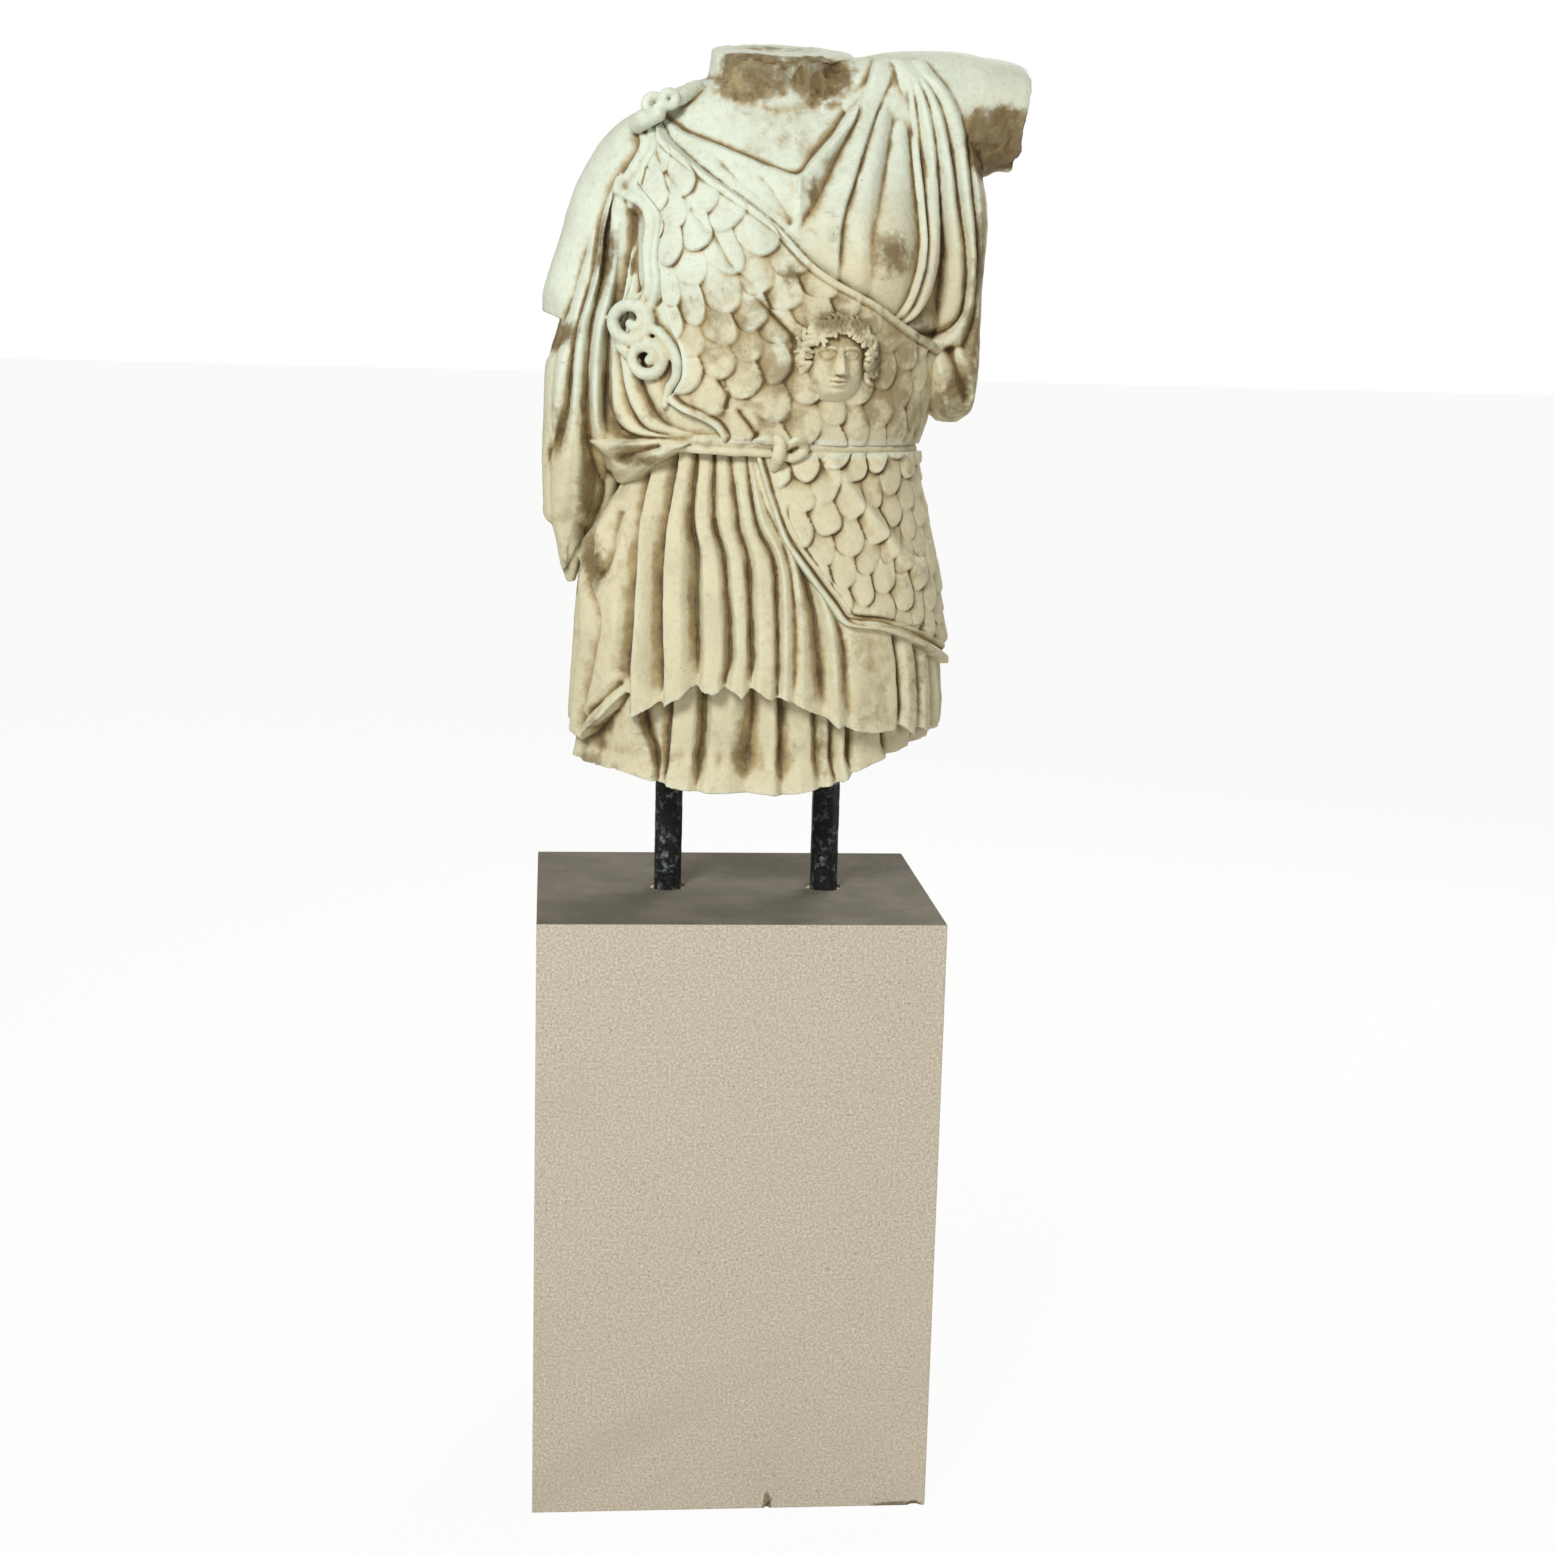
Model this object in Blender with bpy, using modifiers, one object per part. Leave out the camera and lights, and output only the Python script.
"""Marble torso sculpture held by two iron rods over a stone plinth.

Metres, +Z up.  The origin is the centre of the plinth's underside, +X is the
viewer's right and the carved front looks along -Y.  The torso is a draped
figure without head and arms: a belted dress with an overfold, a scaled
breast-cape with a mask on it, and cloth falling from both shoulders.
"""

import math

import bmesh
import bpy
import numpy as np
from mathutils import Matrix

# ------------------------------------------------------------ plinth and rods
PLINTH_WIDTH = 0.500
PLINTH_DEPTH = 0.400
PLINTH_HEIGHT = 0.765
PLINTH_EDGE = 0.0015

ROD_X = {"rod_left": -0.083, "rod_right": 0.119}
ROD_ACROSS = 0.035
ROD_SIDES = 8
ROD_IN_PLINTH = 0.080
ROD_TOP_Z = 0.985
SEAT_RADIUS = 0.024
SEAT_DEPTH = 0.003
SEAT_SIDES = 24
# Chips along the plinth's lower front edge: place, width, height.
PLINTH_CHIPS = ((0.236, 0.022, 0.008), (0.047, 0.008, 0.018))
CHIP_DEPTH = 0.006
GAP = 0.0003

# ------------------------------------------------------------ torso: main heights
UNDERSIDE_Z = 0.915
UNDERSIDE_RISE_RIGHT = 0.045
UNDERSIDE_RISE_LEFT = 0.012
BELT_Z = 1.332
BELT_DIP = 0.006
BELT_RADIUS = 0.009
NECK_X = 0.038
NECK_FRONT_Z = 1.788
NECK_BACK_Z = 1.826

# Body outlines, each row: height, left, right, depth to the front, depth to the back.
SKIRT = (
    (0.900, -0.212, 0.246, 0.166, 0.150),
    (0.950, -0.214, 0.254, 0.172, 0.155),
    (1.000, -0.212, 0.261, 0.176, 0.158),
    (1.060, -0.209, 0.257, 0.177, 0.160),
    (1.120, -0.206, 0.249, 0.172, 0.157),
    (1.180, -0.200, 0.240, 0.162, 0.148),
    (1.240, -0.180, 0.229, 0.149, 0.134),
    (1.300, -0.148, 0.219, 0.136, 0.118),
    (1.345, -0.135, 0.218, 0.128, 0.110),
)
BODICE = (
    (1.290, -0.160, 0.205, 0.112, 0.098),
    (1.325, -0.184, 0.219, 0.135, 0.116),
    (1.360, -0.193, 0.225, 0.146, 0.121),
    (1.400, -0.190, 0.229, 0.152, 0.124),
    (1.460, -0.184, 0.240, 0.158, 0.129),
    (1.550, -0.180, 0.254, 0.161, 0.136),
    (1.630, -0.172, 0.258, 0.143, 0.136),
    (1.690, -0.152, 0.251, 0.114, 0.120),
    (1.740, -0.122, 0.238, 0.088, 0.096),
    (1.775, -0.040, 0.227, 0.074, 0.070),
    (1.800, 0.120, 0.212, 0.048, 0.050),
)
# Falling cloth, each row: height, left, right, front, back.
SLEEVE = (
    (1.216, -0.203, -0.184, -0.020, 0.024),
    (1.234, -0.242, -0.168, -0.044, 0.048),
    (1.262, -0.248, -0.154, -0.062, 0.064),
    (1.310, -0.251, -0.145, -0.075, 0.078),
    (1.370, -0.249, -0.140, -0.083, 0.086),
    (1.430, -0.246, -0.135, -0.085, 0.092),
    (1.490, -0.226, -0.130, -0.083, 0.094),
    (1.560, -0.205, -0.120, -0.078, 0.088),
    (1.630, -0.185, -0.110, -0.060, 0.076),
    (1.690, -0.150, -0.090, -0.040, 0.050),
)
SLEEVE_TAIL = (
    (1.157, -0.217, -0.205, -0.020, 0.012),
    (1.175, -0.224, -0.199, -0.030, 0.020),
    (1.205, -0.230, -0.193, -0.038, 0.030),
    (1.250, -0.240, -0.185, -0.045, 0.040),
    (1.300, -0.240, -0.180, -0.045, 0.040),
)
RIGHT_FALL = (
    (1.366, 0.243, 0.268, -0.035, 0.028),
    (1.385, 0.224, 0.285, -0.066, 0.052),
    (1.430, 0.205, 0.291, -0.086, 0.074),
    (1.480, 0.195, 0.292, -0.080, 0.084),
    (1.540, 0.185, 0.292, -0.088, 0.090),
    (1.620, 0.175, 0.294, -0.092, 0.090),
    (1.700, 0.165, 0.276, -0.088, 0.080),
    (1.760, 0.155, 0.248, -0.080, 0.056),
    (1.796, 0.150, 0.216, -0.058, 0.040),
)

# Round limbs, each row: x, y, z of the middle and the radius.
LEFT_ARM = (
    (-0.050, 0.004, 1.668, 0.080),
    (-0.112, 0.004, 1.660, 0.072),
    (-0.154, 0.002, 1.618, 0.060),
    (-0.176, 0.000, 1.560, 0.055),
    (-0.196, 0.000, 1.514, 0.053),
    (-0.214, 0.000, 1.494, 0.048),
)
RIGHT_ARM = (
    (0.120, 0.006, 1.700, 0.092),
    (0.180, 0.006, 1.722, 0.088),
    (0.240, 0.006, 1.733, 0.080),
    (0.300, 0.006, 1.736, 0.070),
    (0.334, 0.006, 1.732, 0.062),
)
POUCH = (
    (-0.168, -0.030, 1.440, 0.020),
    (-0.162, -0.048, 1.380, 0.028),
    (-0.156, -0.062, 1.325, 0.040),
    (-0.128, -0.086, 1.322, 0.032),
    (-0.092, -0.110, 1.334, 0.018),
    (-0.055, -0.124, 1.342, 0.010),
)

CLASP = (
    (-0.136, -0.060, 1.714, 0.013),
    (-0.120, -0.070, 1.732, 0.015),
    (-0.098, -0.062, 1.738, 0.013),
    (-0.072, -0.046, 1.756, 0.008),
)
KNOT_LOOP = (
    (0.028, -0.146, 1.352, 0.006),
    (0.033, -0.156, 1.340, 0.008),
    (0.032, -0.156, 1.326, 0.008),
    (0.027, -0.146, 1.312, 0.006),
)
KNOT_BOW = (
    (0.036, -0.148, 1.334, 0.005),
    (0.055, -0.150, 1.344, 0.006),
    (0.064, -0.148, 1.334, 0.006),
    (0.050, -0.148, 1.324, 0.006),
    (0.036, -0.148, 1.328, 0.005),
)

# ------------------------------------------------------------ torso: drapery
# Valleys between the skirt's pleats on the front: degrees round the body at the hem, share of full depth.
FRONT_PLEATS = (
    (-76, 1.0), (-61, 0.9), (-48, 0.7), (-36, 0.9), (-19, 1.0), (-9, 0.6), (-3, 0.9), (2.5, 0.8), (9, 1.3),
    (17, 1.0), (25, 0.7), (43, 0.8), (54, 0.6), (66, 0.8),
)
PLEAT_LEAN = -13.0
PLEAT_DEPTH = 0.018
BACK_PLEAT_STEP = 12.5
UNDER_STEP = 0.013
# The overfold's hem: degrees round the body, height.
HEM = (
    (-180, 0.985), (-110, 0.990), (-80, 0.994), (-62, 1.012), (-51, 1.038), (-47, 1.003), (-38, 1.014),
    (-24, 1.046), (-10, 1.052), (-5, 1.038), (-1, 1.046), (9, 1.023), (20, 1.003), (30, 0.994), (54, 0.987),
    (80, 0.988), (180, 0.985),
)

NECKLINE = (
    (-0.120, 1.724), (-0.083, 1.700), (-0.043, 1.684), (0.019, 1.661), (0.052, 1.652), (0.071, 1.677),
    (0.092, 1.700), (0.111, 1.727), (0.131, 1.752), (0.150, 1.800),
)
CAPE_RIM = (
    (-0.112, 1.712), (-0.088, 1.680), (-0.033, 1.635), (0.027, 1.591), (0.061, 1.556), (0.111, 1.523),
    (0.169, 1.490), (0.211, 1.465), (0.240, 1.452),
)
CAPE_EDGE = (
    (-0.110, 1.720), (-0.140, 1.660), (-0.146, 1.627), (-0.132, 1.590), (-0.131, 1.505), (-0.100, 1.460),
    (-0.092, 1.420), (-0.095, 1.398), (-0.050, 1.368), (0.010, 1.345),
)
FLAP_EDGE = (
    (0.006, 1.325), (0.028, 1.252), (0.061, 1.193), (0.097, 1.146), (0.118, 1.126), (0.153, 1.121),
    (0.200, 1.103), (0.240, 1.075), (0.262, 1.055),
)
CAPE_RISE = 0.006
FLAP_RISE = 0.011
RIM_HEIGHT = 0.007
RIM_WIDTH = 0.0065

# Carved valleys on the upper body: width, depth, then the points the line runs through.
UPPER_VALLEYS = (
    (0.011, 0.020, ((-0.150, 1.700), (-0.170, 1.600), (-0.170, 1.400), (-0.160, 1.360), (-0.135, 1.337))),
    (0.010, 0.014, ((-0.146, 1.560), (-0.158, 1.440), (-0.148, 1.390), (-0.114, 1.346))),
    (0.009, 0.012, ((-0.138, 1.420), (-0.126, 1.392), (-0.105, 1.362))),
    (0.008, 0.010, ((-0.054, 1.678), (-0.023, 1.645), (0.015, 1.624), (0.045, 1.592))),
    (0.009, 0.013, ((0.150, 1.742), (0.134, 1.702), (0.108, 1.607), (0.100, 1.540))),
    (0.010, 0.012, ((0.170, 1.772), (0.165, 1.700), (0.143, 1.620), (0.131, 1.520))),
    (0.010, 0.010, ((0.174, 1.771), (0.190, 1.690), (0.202, 1.600))),
    (0.010, 0.013, ((0.186, 1.765), (0.215, 1.680), (0.218, 1.580), (0.200, 1.512))),
    (0.010, 0.013, ((0.219, 1.745), (0.248, 1.640), (0.260, 1.520), (0.245, 1.474))),
    (0.008, 0.012, ((0.252, 1.500), (0.226, 1.480), (0.190, 1.486))),
)
BACK_FOLDS = 7.5
BACK_FOLD_DEPTH = 0.011
BREASTS = ((-0.060, 1.560), (0.156, 1.560))
BREAST_RISE = 0.016
BREAST_SIZE = 0.058

# ------------------------------------------------------------ torso: scales, mask, snakes
SCALE_PITCH = 0.038
SCALE_ROW = 0.029
SCALE_STEP = 0.0050
SCALE_TILT = math.radians(14)

MASK_X = 0.101
MASK_Z = 1.428
MASK_WIDTH = 0.076
MASK_LENGTH = 0.098
MASK_RISE = 0.022
LOCK_COUNT = 11
LOCK_RADIUS = 0.0085

COILS = ((-0.144, 1.478, 0.019, 0.0070), (-0.125, 1.433, 0.014, 0.0060))
COIL_TURNS = 1.35

TORSO_VOXEL = 0.0042
TORSO_DETAIL = 0.040


def clear_scene():
    """Take away whatever the file opened with."""
    for thing in list(bpy.data.objects):
        bpy.data.objects.remove(thing, do_unlink=True)


def collection(name):
    """A new collection in the scene."""
    group = bpy.data.collections.new(name)
    bpy.context.scene.collection.children.link(group)
    return group


def material(name, colour, roughness, metallic=0.0):
    """A plain Principled finish."""
    finish = bpy.data.materials.new(name)
    finish.use_nodes = True
    shader = finish.node_tree.nodes["Principled BSDF"]
    shader.inputs["Base Color"].default_value = (*colour, 1.0)
    shader.inputs["Roughness"].default_value = roughness
    shader.inputs["Metallic"].default_value = metallic
    return finish


def add_object(name, mesh, group, finish=None):
    """Put a mesh in the scene as a named object."""
    piece = bpy.data.objects.new(name, mesh)
    group.objects.link(piece)
    if finish is not None:
        mesh.materials.append(finish)
    return piece


# ------------------------------------------------------------ lines and fields
def smoothstep(low, high, value):
    """0 below low, 1 above high, and a smooth S between."""
    t = np.clip((value - low) / (high - low), 0.0, 1.0)
    return t * t * (3.0 - 2.0 * t)


def spline(points, steps=8):
    """A Catmull-Rom curve through a few points, as an array of close points."""
    p = np.asarray(points, dtype=float)
    p = np.vstack([2 * p[0] - p[1], p, 2 * p[-1] - p[-2]])
    t = np.linspace(0.0, 1.0, steps, endpoint=False)[:, None]
    pieces = []
    for a, b, c, d in zip(p[:-3], p[1:-2], p[2:-1], p[3:]):
        pieces.append(0.5 * (2 * b + (c - a) * t + (2 * a - 5 * b + 4 * c - d) * t**2
                             + (3 * b - a - 3 * c + d) * t**3))
    pieces.append(p[-2][None])
    return np.vstack(pieces)


def rows_at(rows, z):
    """Read an outline's columns at the heights z."""
    curve = spline(rows)
    return [np.interp(z, curve[:, 0], curve[:, column]) for column in range(1, curve.shape[1])]


def height_of(line, x):
    """Height of a line that runs from left to right, at the places x."""
    curve = spline(line)
    return np.interp(x, curve[:, 0], curve[:, 1])


def distance_to(line, x, z):
    """Distance in the front plane from each (x, z) to a line, and how far along it that is."""
    curve = spline(line)
    best = np.full(x.shape, 9.0)
    along = np.zeros(x.shape)
    count = len(curve) - 1
    for i in range(count):
        ax, az = curve[i]
        dx, dz = curve[i + 1] - curve[i]
        t = np.clip(((x - ax) * dx + (z - az) * dz) / (dx * dx + dz * dz + 1e-12), 0.0, 1.0)
        d = np.hypot(x - ax - t * dx, z - az - t * dz)
        near = d < best
        best = np.where(near, d, best)
        along = np.where(near, (i + t) / count, along)
    return best, along


def valley(line, width, depth, x, z):
    """A carved fold: sharp at the bottom, rounded at its sides, dying out at both ends."""
    d, along = distance_to(line, x, z)
    fade = smoothstep(0.0, 0.15, along) * smoothstep(1.0, 0.90, along)
    return -depth * np.exp(-(d / width)) * fade


def scales(x, z):
    """Overlapping rounded scales: each rises to its free lower edge, then drops onto the next."""
    a = x * math.cos(SCALE_TILT) + z * math.sin(SCALE_TILT)
    b = -x * math.sin(SCALE_TILT) + z * math.cos(SCALE_TILT)
    radius = SCALE_PITCH * 0.51
    row = np.floor(b / SCALE_ROW)
    height = np.zeros(x.shape)
    done = np.zeros(x.shape, dtype=bool)
    for step in (2, 1, 0, -1):
        this_row = row + step
        shift = 0.5 * np.mod(this_row, 2.0)
        across = (np.mod(a / SCALE_PITCH + shift, 1.0) - 0.5) * SCALE_PITCH
        up = b - this_row * SCALE_ROW - radius
        inside = (up > -np.sqrt(np.maximum(radius**2 - across**2, 0.0))) & ~done
        drop = np.clip(1.0 - (up + radius) / (1.6 * SCALE_ROW), 0.0, 1.0)
        height = np.where(inside, SCALE_STEP * drop, height)
        done |= inside
    return height


# ------------------------------------------------------------ surfaces
def ring_point(rows, theta, z, roundness=2.3):
    """A point on the body outline, theta measured from the front towards the viewer's right."""
    left, right, front, back = rows_at(rows, z)
    power = 2.0 / roundness
    side = np.sign(np.sin(theta)) * np.abs(np.sin(theta)) ** power
    ahead = np.sign(np.cos(theta)) * np.abs(np.cos(theta)) ** power
    x = (left + right) / 2 + (right - left) / 2 * side
    y = -np.where(ahead > 0, front, back) * ahead
    return x, y


def raised(rows, theta, z, relief):
    """The outline pushed out along its level normal by relief(x, z, theta)."""
    step = 1e-3
    x, y = ring_point(rows, theta, z)
    xa, ya = ring_point(rows, theta - step, z)
    xb, yb = ring_point(rows, theta + step, z)
    nx = yb - ya
    ny = xa - xb
    size = np.hypot(nx, ny) + 1e-9
    push = relief(x, z, theta)
    return np.stack([x + push * nx / size, y + push * ny / size, z + 0 * x], axis=-1)


def skin_mesh(grids):
    """One mesh from several closed skins, each an array of rings, every ring a closed loop."""
    points = []
    faces = []
    start = 0
    for grid in grids:
        rings, around = grid.shape[:2]
        index = start + np.arange(rings * around).reshape(rings, around)
        nxt = np.roll(index, -1, axis=1)
        quads = np.stack([index[:-1], nxt[:-1], nxt[1:], index[1:]], axis=-1).reshape(-1, 4)
        points.append(grid.reshape(-1, 3))
        faces += quads.tolist()
        faces.append(index[0][::-1].tolist())
        faces.append(index[-1].tolist())
        start += rings * around
    mesh = bpy.data.meshes.new("skins")
    mesh.from_pydata(np.vstack(points).tolist(), [], faces)
    skin = bmesh.new()
    skin.from_mesh(mesh)
    bmesh.ops.recalc_face_normals(skin, faces=skin.faces)
    bmesh.ops.triangulate(skin, faces=[f for f in skin.faces if len(f.verts) > 4])
    skin.to_mesh(mesh)
    skin.free()
    return mesh


def grid_of(rows_count, around, bottom, top):
    """Angles and heights for a skin; bottom and top may change round the body."""
    theta = np.linspace(-math.pi, math.pi, around, endpoint=False)[None, :]
    t = np.linspace(0.0, 1.0, rows_count)[:, None]
    low = bottom(theta) if callable(bottom) else bottom
    high = top(theta) if callable(top) else top
    z = low + (high - low) * t
    return theta + 0 * z, z + 0 * theta


# ------------------------------------------------------------ skirt
def pleat_marks():
    """Angle and depth of every valley round the skirt, three turns long; the back ones are evenly spaced."""
    angle, share = np.asarray(FRONT_PLEATS, dtype=float).T
    back = np.arange(angle[-1] + BACK_PLEAT_STEP, angle[0] + 360 - 6, BACK_PLEAT_STEP)
    wobble = np.sin(2.3 * np.arange(len(back)))
    angle = np.concatenate([angle, back + 2.2 * wobble])
    share = np.concatenate([share, 0.75 + 0.25 * wobble])
    return np.concatenate([angle - 360, angle, angle + 360]), np.tile(share, 3)


def pleats(theta, z, depth, lean=PLEAT_LEAN):
    """Rounded pleats with sharp valleys; they lean as they climb to the belt."""
    angle = np.degrees(theta)
    shift = lean * smoothstep(1.06, BELT_Z, z) * np.cos(np.clip(theta, -1.5, 1.5)) ** 0.5
    marks, share = pleat_marks()
    place = np.interp(angle - shift, marks, np.arange(len(marks)))
    before = np.floor(place).astype(int)
    phase = place - before
    after = np.minimum(before + 1, len(marks) - 1)
    left = share[before] * np.clip(1 - 2 * phase, 0, 1) ** 1.5
    right = share[after] * np.clip(2 * phase - 1, 0, 1) ** 1.5
    gather = 0.40 + 0.60 * smoothstep(BELT_Z, 1.15, z)
    return -depth * gather * (left + right)


def flap_relief(x, z):
    """How far the lower end of the cape stands off the skirt, or 0 beside it, with its rim."""
    inside = smoothstep(-0.002, 0.004, z - height_of(FLAP_EDGE, x)) * smoothstep(0.004, 0.010, x)
    d, _ = distance_to(FLAP_EDGE, x, z)
    rim = RIM_HEIGHT * np.exp(-((d / RIM_WIDTH) ** 2))
    return inside, rim


def skirt_relief(x, z, theta):
    """Pleats, and the cape's lower end over them on the viewer's right."""
    front = smoothstep(1.75, 1.40, np.abs(theta))
    inside, rim = flap_relief(x, z)
    fold = pleats(theta, z, PLEAT_DEPTH)
    flap = FLAP_RISE - 0.006 + scales(x, z)
    return fold * (1 - inside * front) + flap * inside * front + rim * front


def under_relief(x, z, theta):
    """The layer below the overfold, set back from it and pleated too."""
    sides = 0.35 + 0.65 * np.abs(np.cos(theta))
    return pleats(theta, z, 0.010) - UNDER_STEP * sides


def underside(theta):
    """Height of the rough-cut underside, which climbs to both sides and most to the viewer's right."""
    side = np.sin(theta)
    right = UNDERSIDE_RISE_RIGHT * smoothstep(0.20, 1.0, side)
    left = UNDERSIDE_RISE_LEFT * smoothstep(0.30, 1.0, -side)
    return UNDERSIDE_Z + right + left


def hem_height(theta):
    """Height of the overfold's hem round the body."""
    marks = np.asarray(HEM, dtype=float)
    return np.interp(np.degrees(theta), marks[:, 0], marks[:, 1])


def skirt_skins():
    """The overfold, which hangs to its hem, and the layer under it."""
    theta, z = grid_of(70, 260, hem_height, SKIRT[-1][0])
    over = raised(SKIRT, theta, z, skirt_relief)
    theta, z = grid_of(40, 260, underside, 1.120)
    under = raised(SKIRT, theta, z, under_relief)
    return [over, under]


# ------------------------------------------------------------ upper body
def mask_relief(x, z):
    """The mask: a full face in the round-cheeked proportions of a mould, under a band of curls."""
    u = (x - MASK_X) / (MASK_WIDTH / 2)
    v = (z - MASK_Z + 0.006) / (MASK_LENGTH / 2)
    dome = MASK_RISE * np.sqrt(np.clip(1.0 - u**2 - v**2, 0.0, 1.0))
    nose = 0.008 * np.exp(-((u / 0.16) ** 2)) * smoothstep(0.35, -0.12, v) * smoothstep(-0.32, -0.22, v)
    locks = np.zeros(x.shape)
    for k in range(LOCK_COUNT):
        turn = math.radians(-112 + 224 * k / (LOCK_COUNT - 1))
        lock_x = MASK_X + MASK_WIDTH * 0.50 * math.sin(turn)
        lock_z = MASK_Z + MASK_LENGTH * 0.50 * math.cos(turn)
        reach = np.hypot(x - lock_x, z - lock_z) / LOCK_RADIUS
        locks = np.maximum(locks, 0.013 * np.sqrt(np.clip(1.0 - (reach / 1.3) ** 2, 0.0, 1.0)))
    return np.maximum(dome + nose, locks)


def upper_folds(x, z):
    """All the carved valleys of the upper body together."""
    folds = np.zeros(x.shape)
    for width, depth, line in UPPER_VALLEYS:
        folds += valley(line, width, depth, x, z)
    return folds


def back_folds(theta, z):
    """Quiet folds that fan up the back from the belt, and the hollow of the spine."""
    angle = np.abs(np.abs(theta) - math.pi)
    fan = angle * (1.0 - 0.9 * (z - BELT_Z))
    folds = BACK_FOLD_DEPTH * (np.abs(np.sin(BACK_FOLDS * fan + 0.6)) ** 0.8 - 1.0)
    reach = smoothstep(1.74, 1.40, z) * smoothstep(0.05, 0.30, angle)
    spine = 0.010 * np.exp(-((angle / 0.22) ** 2)) * smoothstep(1.34, 1.45, z)
    return folds * reach - spine


def bodice_relief(x, z, theta):
    """Breasts, neckline, carved folds, the cape with its scales, rim and mask."""
    front = smoothstep(1.70, 1.35, np.abs(theta))
    height = np.zeros(x.shape)
    for bx, bz in BREASTS:
        height += BREAST_RISE * np.exp(-(((x - bx) ** 2 + (z - bz) ** 2) / BREAST_SIZE**2))
    skin = smoothstep(-0.001, 0.004, z - height_of(NECKLINE, x))
    rim_line = height_of(CAPE_RIM, x)
    edge = np.asarray(spline(CAPE_EDGE))
    order = np.argsort(edge[:, 1])
    left_edge = np.interp(z, edge[order, 1], edge[order, 0])
    cape = smoothstep(0.004, -0.003, z - rim_line) * smoothstep(-0.003, 0.004, x - left_edge)
    folds = upper_folds(x, z)
    rims = np.zeros(x.shape)
    for line in (CAPE_RIM, CAPE_EDGE):
        d, _ = distance_to(line, x, z)
        rims = np.maximum(rims, RIM_HEIGHT * np.exp(-((d / RIM_WIDTH) ** 2)))
    height = height - 0.012 * skin + folds * (1 - skin) * (1 - 0.9 * cape)
    height = height + cape * (CAPE_RISE + scales(x, z)) + rims * (1 - skin)
    height = height + mask_relief(x, z)
    back = back_folds(theta, z) * smoothstep(1.60, 2.00, np.abs(theta))
    return height * front + back


def bodice_skins():
    """The upper body from the belt to the shoulders."""
    theta, z = grid_of(110, 300, BODICE[0][0], BODICE[-1][0])
    return [raised(BODICE, theta, z, bodice_relief)]


def belt_skin():
    """The cord belt, a closed ring round the waist that dips at the viewer's right."""
    theta = np.linspace(-math.pi, math.pi, 96)
    z = BELT_Z - BELT_DIP * np.sin(theta)
    x, y = ring_point(BODICE, theta, z)
    rows = np.stack([x, y - 0.002 * np.cos(theta), z, np.full(theta.shape, BELT_RADIUS)], axis=-1)
    return tube_skin(rows, 8, steps=1, upright=True)


def tube_skin(rows, sides=20, flatten=1.0, steps=6, upright=False):
    """A round limb along a curve of rows (x, y, z, radius), closed at both ends."""
    curve = spline(rows, steps)
    middle = curve[:, :3]
    along = np.gradient(middle, axis=0)
    along /= np.linalg.norm(along, axis=1)[:, None]
    across = np.cross(along, np.array([0.0, 0.0, 1.0] if upright else [0.0, 1.0, 0.0]))
    across /= np.linalg.norm(across, axis=1)[:, None]
    depth = np.cross(across, along)
    turn = np.linspace(0, 2 * math.pi, sides, endpoint=False)
    circle = (across[:, None, :] * np.cos(turn)[None, :, None]
              + depth[:, None, :] * np.sin(turn)[None, :, None] * flatten)
    return middle[:, None, :] + circle * curve[:, 3][:, None, None]


def cloth_skin(rows, folds, depth, rings=60, around=120, phase=0.0):
    """A hanging mass of cloth with vertical folds round it and the carved valleys on its front."""
    z = np.linspace(rows[0][0], rows[-1][0], rings)[:, None]
    left, right, front, back = rows_at(rows, z)
    theta = np.linspace(-math.pi, math.pi, around, endpoint=False)[None, :]
    power = 2.0 / 2.6
    side = np.sign(np.sin(theta)) * np.abs(np.sin(theta)) ** power
    ahead = np.sign(np.cos(theta)) * np.abs(np.cos(theta)) ** power
    fold = np.abs(np.sin(0.5 * folds * theta + phase + 3.0 * z)) ** 0.8 - 1.0
    half_x = (right - left) / 2 + depth * fold
    half_y = (back - front) / 2 + depth * fold
    x = (left + right) / 2 + half_x * side
    y = (front + back) / 2 - half_y * ahead
    z = z + 0 * x
    y = y - upper_folds(x, z) * smoothstep(0.0, 0.5, ahead)
    return np.stack([x, y, z], axis=-1)


def neck_skin():
    """The neck, flaring into the chest, broken off on a slope that is higher behind."""
    rows = (
        (1.640, 0.125, 0.095),
        (1.700, 0.120, 0.090),
        (1.735, 0.104, 0.086),
        (1.760, 0.093, 0.083),
        (1.785, 0.087, 0.081),
        (1.830, 0.085, 0.080),
    )
    t = np.linspace(0.0, 1.0, 24)[:, None]
    theta = np.linspace(-math.pi, math.pi, 48, endpoint=False)[None, :]
    top = (NECK_FRONT_Z + NECK_BACK_Z) / 2 - (NECK_BACK_Z - NECK_FRONT_Z) / 2 * np.cos(theta)
    z = rows[0][0] + (top - rows[0][0]) * t
    across, deep = rows_at(rows, z)
    x = NECK_X + across * np.sin(theta)
    y = 0.004 - deep * np.cos(theta)
    return np.stack([x, y, z], axis=-1)


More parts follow.
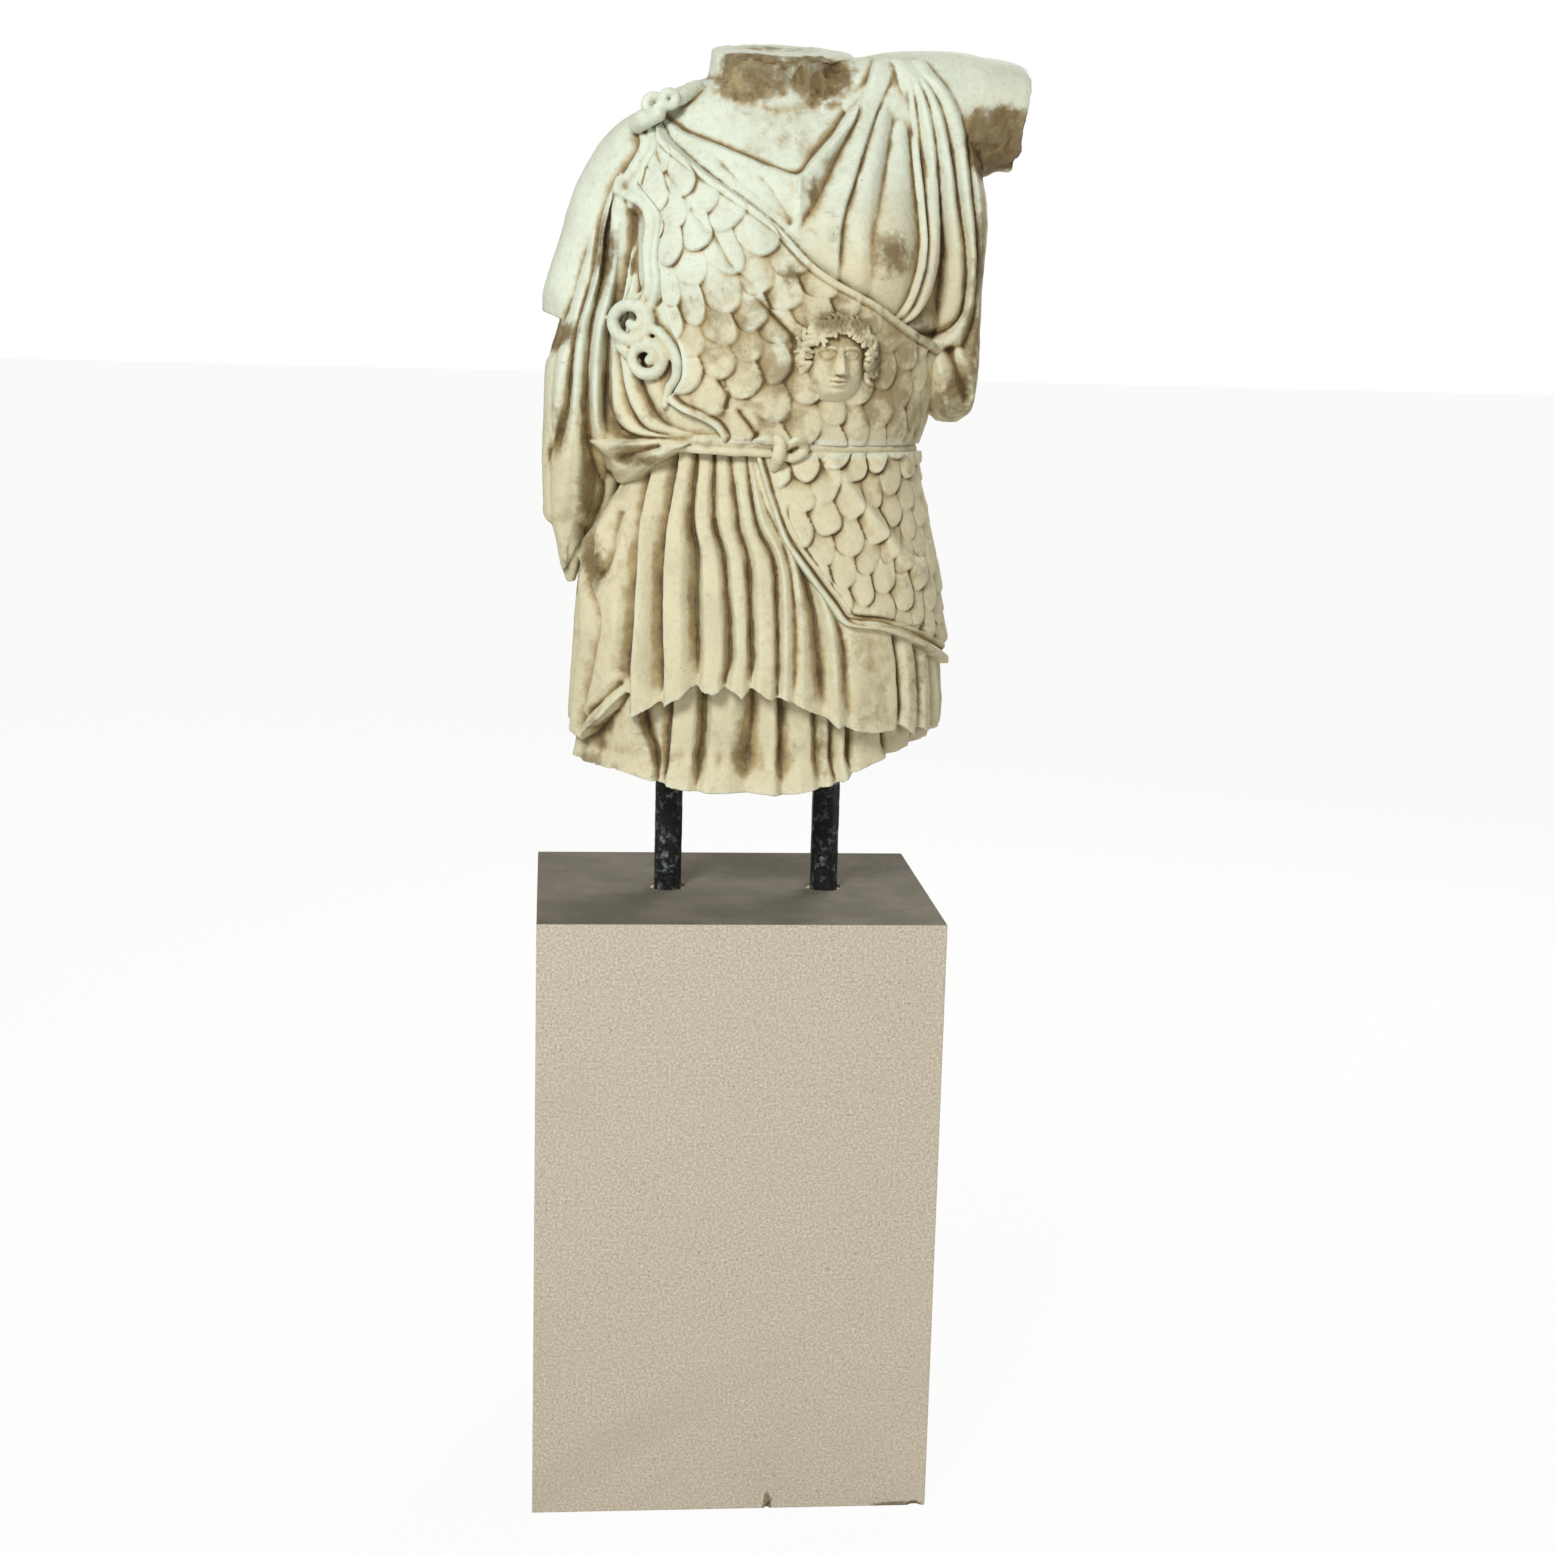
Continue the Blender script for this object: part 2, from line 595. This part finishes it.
def coil_skins():
    """The two snake coils at the cape's edge, each a flat spiral that ends in a knob."""
    skins = []
    for cx, cz, radius, thick in COILS:
        turn = np.linspace(0.0, 2 * math.pi * COIL_TURNS, 14)
        reach = radius * np.linspace(1.0, 0.15, 14)
        rows = np.stack([cx + reach * np.cos(turn), -0.100 - 0.010 * (1 - reach / radius) + 0 * turn,
                         cz + reach * np.sin(turn), np.full(14, thick)], axis=-1)
        skins.append(tube_skin(rows, 8))
    return skins


def torso_mesh():
    """All the skins of the figure in one mesh."""
    skins = skirt_skins() + bodice_skins()
    skins += [tube_skin(LEFT_ARM), tube_skin(RIGHT_ARM), tube_skin(POUCH, 16), neck_skin()]
    skins.append(cloth_skin(SLEEVE, 9, 0.010))
    skins.append(cloth_skin(SLEEVE_TAIL, 5, 0.004))
    skins.append(cloth_skin(RIGHT_FALL, 8, 0.010, phase=0.6))
    skins += [belt_skin(), tube_skin(CLASP, 10), tube_skin(KNOT_LOOP, 8), tube_skin(KNOT_BOW, 8)]
    skins += coil_skins()
    return skin_mesh(skins)


def drill(piece, name, cutter):
    """Cut a hidden cutter out of a piece."""
    cutter.hide_render = True
    cutter.display_type = "WIRE"
    cut = piece.modifiers.new(name, "BOOLEAN")
    cut.operation = "DIFFERENCE"
    cut.object = cutter


def bar_mesh(sides, across_flats, bottom, top):
    """An upright prism with a flat to the front, centred on the Z axis."""
    bar = bmesh.new()
    radius = across_flats / 2 / math.cos(math.pi / sides)
    bmesh.ops.create_cone(bar, cap_ends=True, segments=sides, radius1=radius, radius2=radius,
                          depth=top - bottom)
    place = Matrix.Translation((0, 0, (top + bottom) / 2)) @ Matrix.Rotation(math.pi / sides, 4, "Z")
    bmesh.ops.transform(bar, matrix=place, verts=bar.verts)
    mesh = bpy.data.meshes.new("bar")
    bar.to_mesh(mesh)
    bar.free()
    return mesh


def add_cutter(name, mesh, x, cutters):
    """A cutter standing on a rod's axis."""
    cutter = add_object(name, mesh, cutters)
    cutter.location.x = x
    return cutter


def make_torso(group, cutters, finish):
    """The carved block: the skins made one solid, lightened, then drilled for the rods."""
    torso = add_object("marble_torso", torso_mesh(), group, finish)
    fuse = torso.modifiers.new("fuse", "REMESH")
    fuse.mode = "VOXEL"
    fuse.voxel_size = TORSO_VOXEL
    lighten = torso.modifiers.new("lighten", "DECIMATE")
    lighten.ratio = TORSO_DETAIL
    for name, x in ROD_X.items():
        socket = bar_mesh(ROD_SIDES, ROD_ACROSS + 2 * GAP, UNDERSIDE_Z - 0.05, ROD_TOP_Z + GAP)
        drill(torso, "socket " + name, add_cutter("torso_socket_" + name, socket, x, cutters))
    return torso


def make_rods(group, finish):
    """Two octagonal bars, let into the plinth below and into the marble above."""
    for name, x in ROD_X.items():
        bar = bar_mesh(ROD_SIDES, ROD_ACROSS, PLINTH_HEIGHT - ROD_IN_PLINTH, ROD_TOP_Z)
        rod = add_object(name, bar, group, finish)
        rod.location.x = x
        worn = rod.modifiers.new("worn edges", "BEVEL")
        worn.width = 0.001
        worn.segments = 1


def make_plinth(group, cutters, finish):
    """A sawn block with crisp edges, a shallow round seat and a socket for each rod, and two chips."""
    block = bmesh.new()
    bmesh.ops.create_cube(block, size=1.0)
    size = Matrix.Diagonal((PLINTH_WIDTH, PLINTH_DEPTH, PLINTH_HEIGHT, 1.0))
    place = Matrix.Translation((0, 0, PLINTH_HEIGHT / 2))
    bmesh.ops.transform(block, matrix=place @ size, verts=block.verts)
    mesh = bpy.data.meshes.new("plinth")
    block.to_mesh(mesh)
    block.free()
    plinth = add_object("plinth", mesh, group, finish)
    crisp = plinth.modifiers.new("crisp edges", "BEVEL")
    crisp.width = PLINTH_EDGE
    crisp.segments = 2
    above = PLINTH_HEIGHT + 0.02
    for name, x in ROD_X.items():
        seat = bar_mesh(SEAT_SIDES, 2 * SEAT_RADIUS, PLINTH_HEIGHT - SEAT_DEPTH, above)
        drill(plinth, "seat " + name, add_cutter("seat_" + name, seat, x, cutters))
        bottom = PLINTH_HEIGHT - ROD_IN_PLINTH - GAP
        socket = bar_mesh(ROD_SIDES, ROD_ACROSS + 2 * GAP, bottom, above)
        drill(plinth, "socket " + name, add_cutter("plinth_socket_" + name, socket, x, cutters))
    for number, (x, width, height) in enumerate(PLINTH_CHIPS):
        chip = bmesh.new()
        bmesh.ops.create_icosphere(chip, subdivisions=1, radius=1.0)
        shape = Matrix.Diagonal((width / 2, CHIP_DEPTH, height, 1.0))
        tilt = Matrix.Translation((x, -PLINTH_DEPTH / 2, 0)) @ Matrix.Rotation(0.4, 4, "Y")
        bmesh.ops.transform(chip, matrix=tilt @ shape, verts=chip.verts)
        mesh = bpy.data.meshes.new("chip")
        chip.to_mesh(mesh)
        chip.free()
        cutter = add_cutter("chip_%d" % number, mesh, 0.0, cutters)
        drill(plinth, "chip %d" % number, cutter)


def main():
    """Build the whole object."""
    clear_scene()
    group = collection("marble_torso_sculpture")
    cutters = collection("cutters")
    marble = material("aged_marble", (0.74, 0.69, 0.56), 0.55)
    sandstone = material("sand_coloured_stone", (0.60, 0.54, 0.44), 0.85)
    iron = material("blackened_iron", (0.02, 0.025, 0.03), 0.42, metallic=0.6)
    make_plinth(group, cutters, sandstone)
    make_rods(group, iron)
    make_torso(group, cutters, marble)


main()
